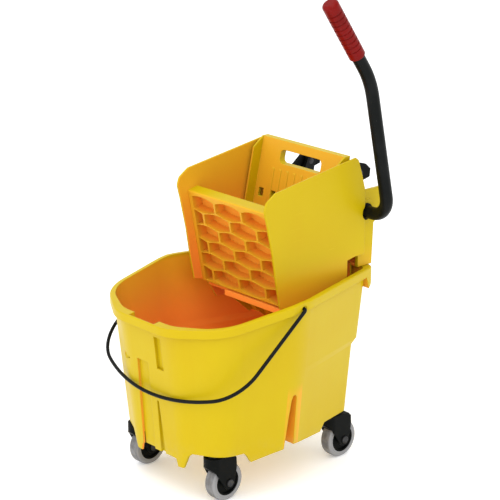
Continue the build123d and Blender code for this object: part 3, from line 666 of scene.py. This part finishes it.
@dataclass
class Caster(Assembly):
    """One swivel caster."""

    corner: Corner

    def build(self, hood: bpy.types.Material, hub: bpy.types.Material, steel: bpy.types.Material) -> None:
        """Dress one caster.

        Args:
            hood: material of the hood over the wheel.
            hub: material of the wheel's middle.
            steel: material of the stem and the axle bolt.
        """
        corner = self.corner.value
        low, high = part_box("tyre_" + corner)
        middle = tuple((a + b) / 2 for a, b in zip(low, high))
        radius = (high[2] - low[2]) / 2
        tyre = TyreRubber("tyre_grey_" + corner, middle, radius)
        self.dress(["tyre_" + corner], tyre.build())
        self.dress(["fork_" + corner], hood)
        self.dress(["hub_" + corner], hub)
        self.dress(["stem_" + corner, "axle_" + corner], steel)


@dataclass
class Undercarriage:
    """The four casters, which share their hood, hub and steel finishes."""

    hood: BlackPlastic = BlackPlastic("hood_black", roughness=0.44, dust_share=0.16)
    hub: BlackPlastic = BlackPlastic("hub_black", roughness=0.50, dust_share=0.14)
    steel: Steel = Steel(
        "axle_steel",
        colour=(0.06, 0.06, 0.062),
        dulled=(0.025, 0.025, 0.026),
        tint=(0.05, 0.045, 0.035),
        roughness=0.38,
    )

    def build(self) -> None:
        """Dress all four casters."""
        hood, hub, steel = self.hood.build(), self.hub.build(), self.steel.build()
        for corner in Corner:
            Caster(corner).build(hood, hub, steel)


# ---- studio ----------------------------------------------------------------------------
@dataclass
class Studio:
    """Plain pale floor, soft light from all round and three large soft lamps."""

    floor_colour: Colour = (0.97, 0.97, 0.97)
    floor_glow: float = 0.22
    world_strength: float = 1.12
    key_power: float = 24.0
    fill_power: float = 16.0
    top_power: float = 22.0

    def floor(self) -> None:
        """A wide pale floor with a faint unevenness."""
        graph = Graph("floor_pale")
        clouds = graph.noise(3.0, 3.0)
        shade = graph.mix(clouds * 0.03, self.floor_colour, (0.90, 0.90, 0.90))
        material = graph.finish(
            {"Base Color": shade, "Roughness": 0.75 + clouds * 0.1},
            {
                "Specular IOR Level": 0.2,
                "Emission Color": (1.0, 1.0, 1.0, 1.0),
                "Emission Strength": self.floor_glow,
            },
        )
        shape = bmesh.new()
        bmesh.ops.create_grid(shape, x_segments=2, y_segments=2, size=9.0)
        mesh = bpy.data.meshes.new("floor")
        shape.to_mesh(mesh)
        shape.free()
        mesh.materials.append(material)
        piece = bpy.data.objects.new("floor", mesh)
        bpy.context.scene.collection.objects.link(piece)

    def world(self) -> None:
        """Even pale light from every side."""
        world = bpy.data.worlds.new("studio")
        world.use_nodes = True
        background = world.node_tree.nodes["Background"]
        background.inputs["Color"].default_value = (1.0, 1.0, 1.0, 1.0)
        background.inputs["Strength"].default_value = self.world_strength
        bpy.context.scene.world = world

    def lamp(self, name: str, place: Vector, target: Vector, size: float, power: float) -> None:
        """One square soft light that faces a point."""
        light = bpy.data.lights.new(name, "AREA")
        light.shape = "SQUARE"
        light.size = size
        light.energy = power
        holder = bpy.data.objects.new(name, light)
        aim = (target - place).to_track_quat("-Z", "Y")
        holder.matrix_world = Matrix.Translation(place) @ aim.to_matrix().to_4x4()
        bpy.context.scene.collection.objects.link(holder)

    def build(self) -> None:
        """Set up floor, world and lights."""
        self.floor()
        self.world()
        middle = Vector((0.0, 0.0, 0.4))
        self.lamp("key", Vector((-1.6, -2.6, 2.9)), middle, 2.2, self.key_power)
        self.lamp("fill", Vector((-3.0, 0.6, 1.6)), middle, 2.4, self.fill_power)
        self.lamp("top", Vector((-0.9, -0.3, 3.4)), middle, 1.6, self.top_power)
        bpy.context.scene.view_settings.view_transform = "Standard"


@dataclass
class View:
    """The camera: where it looks from and the point it looks at."""

    turn: float = 42.143
    tilt: float = 17.679
    distance: float = 3.6037
    lens: float = 134.75
    target: tuple[float, float, float] = (0.011475, 0.0, 0.430227)

    def build(self) -> None:
        """Place the camera and make it the scene's own."""
        turn, tilt = math.radians(self.turn), math.radians(self.tilt)
        back = Vector(
            (-math.sin(turn) * math.cos(tilt), -math.cos(turn) * math.cos(tilt), math.sin(tilt))
        )
        camera = bpy.data.cameras.new("camera")
        camera.sensor_width = 36.0
        camera.lens = self.lens
        camera.clip_end = 60.0
        holder = bpy.data.objects.new("camera", camera)
        aim = back.to_track_quat("Z", "Y")
        place = Vector(self.target) + back * self.distance
        holder.matrix_world = Matrix.Translation(place) @ aim.to_matrix().to_4x4()
        bpy.context.scene.collection.objects.link(holder)
        bpy.context.scene.camera = holder


def main() -> None:
    """Build every sub-assembly in order, then the studio and the camera."""
    logging.basicConfig(level=logging.INFO, format="%(name)s: %(message)s")
    Bucket().build()
    Wringer().build()
    Lever().build()
    Undercarriage().build()
    Studio().build()
    View().build()


if __name__ == "__main__":
    main()
